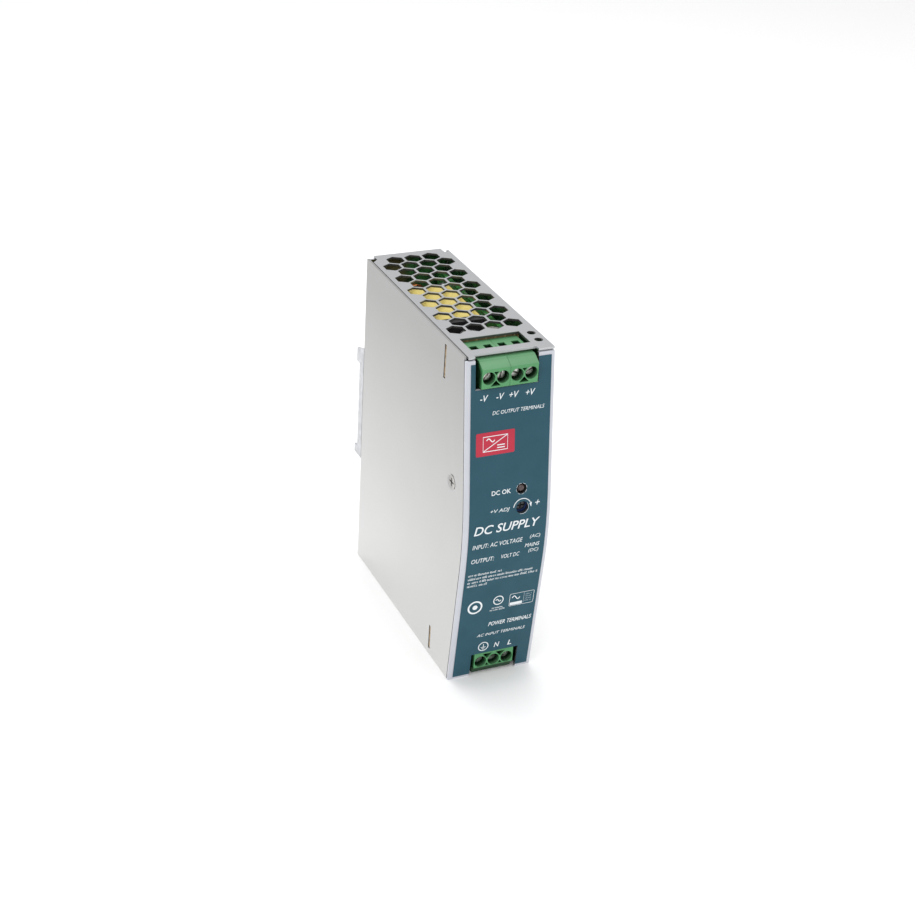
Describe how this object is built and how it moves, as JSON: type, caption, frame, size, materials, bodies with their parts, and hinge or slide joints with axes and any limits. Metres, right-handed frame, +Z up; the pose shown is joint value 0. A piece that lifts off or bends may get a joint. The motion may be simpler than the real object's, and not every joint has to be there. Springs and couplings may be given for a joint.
{
  "type": "din rail power supply",
  "caption": "Narrow metal-cased DIN rail power supply with vented top, bent label front, green screw terminals and a spring latch at the rear.",
  "frame": {"origin": "under the middle of the bounding box, on the surface the case stands on", "axes": "+Z up along the tall side, -Y out of the labelled front, +X to the right of a viewer who faces the front"},
  "size_m": [0.032, 0.102, 0.1252],
  "materials": {
    "case_metal": "satin anodised sheet",
    "cover_metal": "bright satin sheet",
    "panel_grey": "smooth light grey paint",
    "label_print": "printed polyester film",
    "screw_steel": "zinc plated",
    "bracket_steel": "zinc plated sheet",
    "latch_steel": "zinc plated sheet",
    "spring_steel": "drawn wire",
    "terminal_green": "moulded polyamide",
    "terminal_zinc": "zinc plated",
    "clamp_brass": "stamped",
    "board_green": "solder masked glass fibre board",
    "board_brown": "phenolic board",
    "insulation_film": "polyester film",
    "ferrite": "pressed ferrite",
    "tape_yellow": "polyester tape",
    "sleeve_black": "printed sleeve over an aluminium can",
    "copper_wire": "enamelled copper turns",
    "capacitor_yellow": "moulded box",
    "package_black": "moulded package",
    "heatsink_alloy": "mill finish",
    "fuse_ceramic": "ceramic tube with caps",
    "disc_green": "coated disc",
    "lamp_lens": "dark tinted lens, unlit",
    "trimmer_blue": "moulded",
    "trimmer_white": "moulded"
  },
  "bodies": {
    "case": {"chassis": "case_metal", "side_cover": "cover_metal", "front_panel": "panel_grey", "front_label": "label_print", "cover_screw_left": "screw_steel", "cover_screw_right": "screw_steel", "board_screw_1": "screw_steel", "board_screw_2": "screw_steel", "board_screw_3": "screw_steel", "board_standoff_1": "screw_steel", "board_standoff_2": "screw_steel", "board_standoff_3": "screw_steel", "bracket_rivet_1": "screw_steel", "bracket_rivet_2": "screw_steel", "bracket_rivet_3": "screw_steel", "bracket_rivet_4": "screw_steel", "din_bracket": "bracket_steel", "latch_spring": "spring_steel", "output_block_negative": "terminal_green", "output_block_positive": "terminal_green", "input_block": "terminal_green", "main_board": "board_green", "control_board": "board_green", "output_board": "board_brown", "input_board": "board_brown", "insulation_sheet": "insulation_film", "transformer_core": "ferrite", "transformer_winding": "tape_yellow", "bulk_capacitor": "sleeve_black", "output_capacitor_1": "sleeve_black", "output_capacitor_2": "sleeve_black", "output_choke": "copper_wire", "line_choke": "copper_wire", "x_capacitor": "capacitor_yellow", "bridge_rectifier": "package_black", "switch_transistor": "package_black", "output_rectifier": "package_black", "optocoupler": "package_black", "primary_heatsink": "heatsink_alloy", "output_heatsink": "heatsink_alloy", "fuse": "fuse_ceramic", "thermistor": "disc_green", "status_lamp": "lamp_lens", "trimmer_body": "trimmer_blue"},
    "latch": {"din_latch": "latch_steel"},
    "trimmer": {"trimmer_rotor": "trimmer_white"},
    "screw_1": {"terminal_screw_1": "terminal_zinc"},
    "clamp_1": {"wire_clamp_1": "clamp_brass"},
    "screw_2": {"terminal_screw_2": "terminal_zinc"},
    "clamp_2": {"wire_clamp_2": "clamp_brass"},
    "screw_3": {"terminal_screw_3": "terminal_zinc"},
    "clamp_3": {"wire_clamp_3": "clamp_brass"},
    "screw_4": {"terminal_screw_4": "terminal_zinc"},
    "clamp_4": {"wire_clamp_4": "clamp_brass"},
    "screw_5": {"terminal_screw_5": "terminal_zinc"},
    "clamp_5": {"wire_clamp_5": "clamp_brass"},
    "screw_6": {"terminal_screw_6": "terminal_zinc"},
    "clamp_6": {"wire_clamp_6": "clamp_brass"},
    "screw_7": {"terminal_screw_7": "terminal_zinc"},
    "clamp_7": {"wire_clamp_7": "clamp_brass"}
  },
  "joints": [
    {"name": "latch_slide", "type": "slide", "parent": "case", "child": "latch", "axis": [0, 0, -1], "range_m": [0, 0.004], "stiffness_N_per_m": 700, "springref_m": -0.003, "deforming": ["latch_spring"]},
    {"name": "trimmer_turn", "type": "hinge", "parent": "case", "child": "trimmer", "pos_m": [0.00535, -0.0488, 0.0698], "axis": [0, 1, 0], "range_deg": [-135, 135]},
    {"name": "screw_turn_1", "type": "hinge", "parent": "case", "child": "screw_1", "pos_m": [-0.00862, -0.0444, 0.1183], "axis": [0, -1, 0], "range_deg": [0, 1080.2]},
    {"name": "clamp_slide_1", "type": "slide", "parent": "case", "child": "clamp_1", "axis": [0, 1, 0], "range_m": [0, 0.0015]},
    {"name": "screw_turn_2", "type": "hinge", "parent": "case", "child": "screw_2", "pos_m": [-0.00354, -0.0444, 0.1183], "axis": [0, -1, 0], "range_deg": [0, 1080.2]},
    {"name": "clamp_slide_2", "type": "slide", "parent": "case", "child": "clamp_2", "axis": [0, 1, 0], "range_m": [0, 0.0015]},
    {"name": "screw_turn_3", "type": "hinge", "parent": "case", "child": "screw_3", "pos_m": [0.00154, -0.0444, 0.1183], "axis": [0, -1, 0], "range_deg": [0, 1080.2]},
    {"name": "clamp_slide_3", "type": "slide", "parent": "case", "child": "clamp_3", "axis": [0, 1, 0], "range_m": [0, 0.0015]},
    {"name": "screw_turn_4", "type": "hinge", "parent": "case", "child": "screw_4", "pos_m": [0.00662, -0.0444, 0.1183], "axis": [0, -1, 0], "range_deg": [0, 1080.2]},
    {"name": "clamp_slide_4", "type": "slide", "parent": "case", "child": "clamp_4", "axis": [0, 1, 0], "range_m": [0, 0.0015]},
    {"name": "screw_turn_5", "type": "hinge", "parent": "case", "child": "screw_5", "pos_m": [-0.00383, -0.0437, 0.0055], "axis": [0, -1, 0], "range_deg": [0, 1080.2]},
    {"name": "clamp_slide_5", "type": "slide", "parent": "case", "child": "clamp_5", "axis": [0, 1, 0], "range_m": [0, 0.0015]},
    {"name": "screw_turn_6", "type": "hinge", "parent": "case", "child": "screw_6", "pos_m": [0.00125, -0.0437, 0.0055], "axis": [0, -1, 0], "range_deg": [0, 1080.2]},
    {"name": "clamp_slide_6", "type": "slide", "parent": "case", "child": "clamp_6", "axis": [0, 1, 0], "range_m": [0, 0.0015]},
    {"name": "screw_turn_7", "type": "hinge", "parent": "case", "child": "screw_7", "pos_m": [0.00633, -0.0437, 0.0055], "axis": [0, -1, 0], "range_deg": [0, 1080.2]},
    {"name": "clamp_slide_7", "type": "slide", "parent": "case", "child": "clamp_7", "axis": [0, 1, 0], "range_m": [0, 0.0015]}
  ],
  "couplings": [
    {"joint": "screw_turn_1", "follows": "clamp_slide_1", "rad_per_m": 12566},
    {"joint": "screw_turn_2", "follows": "clamp_slide_2", "rad_per_m": 12566},
    {"joint": "screw_turn_3", "follows": "clamp_slide_3", "rad_per_m": 12566},
    {"joint": "screw_turn_4", "follows": "clamp_slide_4", "rad_per_m": 12566},
    {"joint": "screw_turn_5", "follows": "clamp_slide_5", "rad_per_m": 12566},
    {"joint": "screw_turn_6", "follows": "clamp_slide_6", "rad_per_m": 12566},
    {"joint": "screw_turn_7", "follows": "clamp_slide_7", "rad_per_m": 12566}
  ]
}
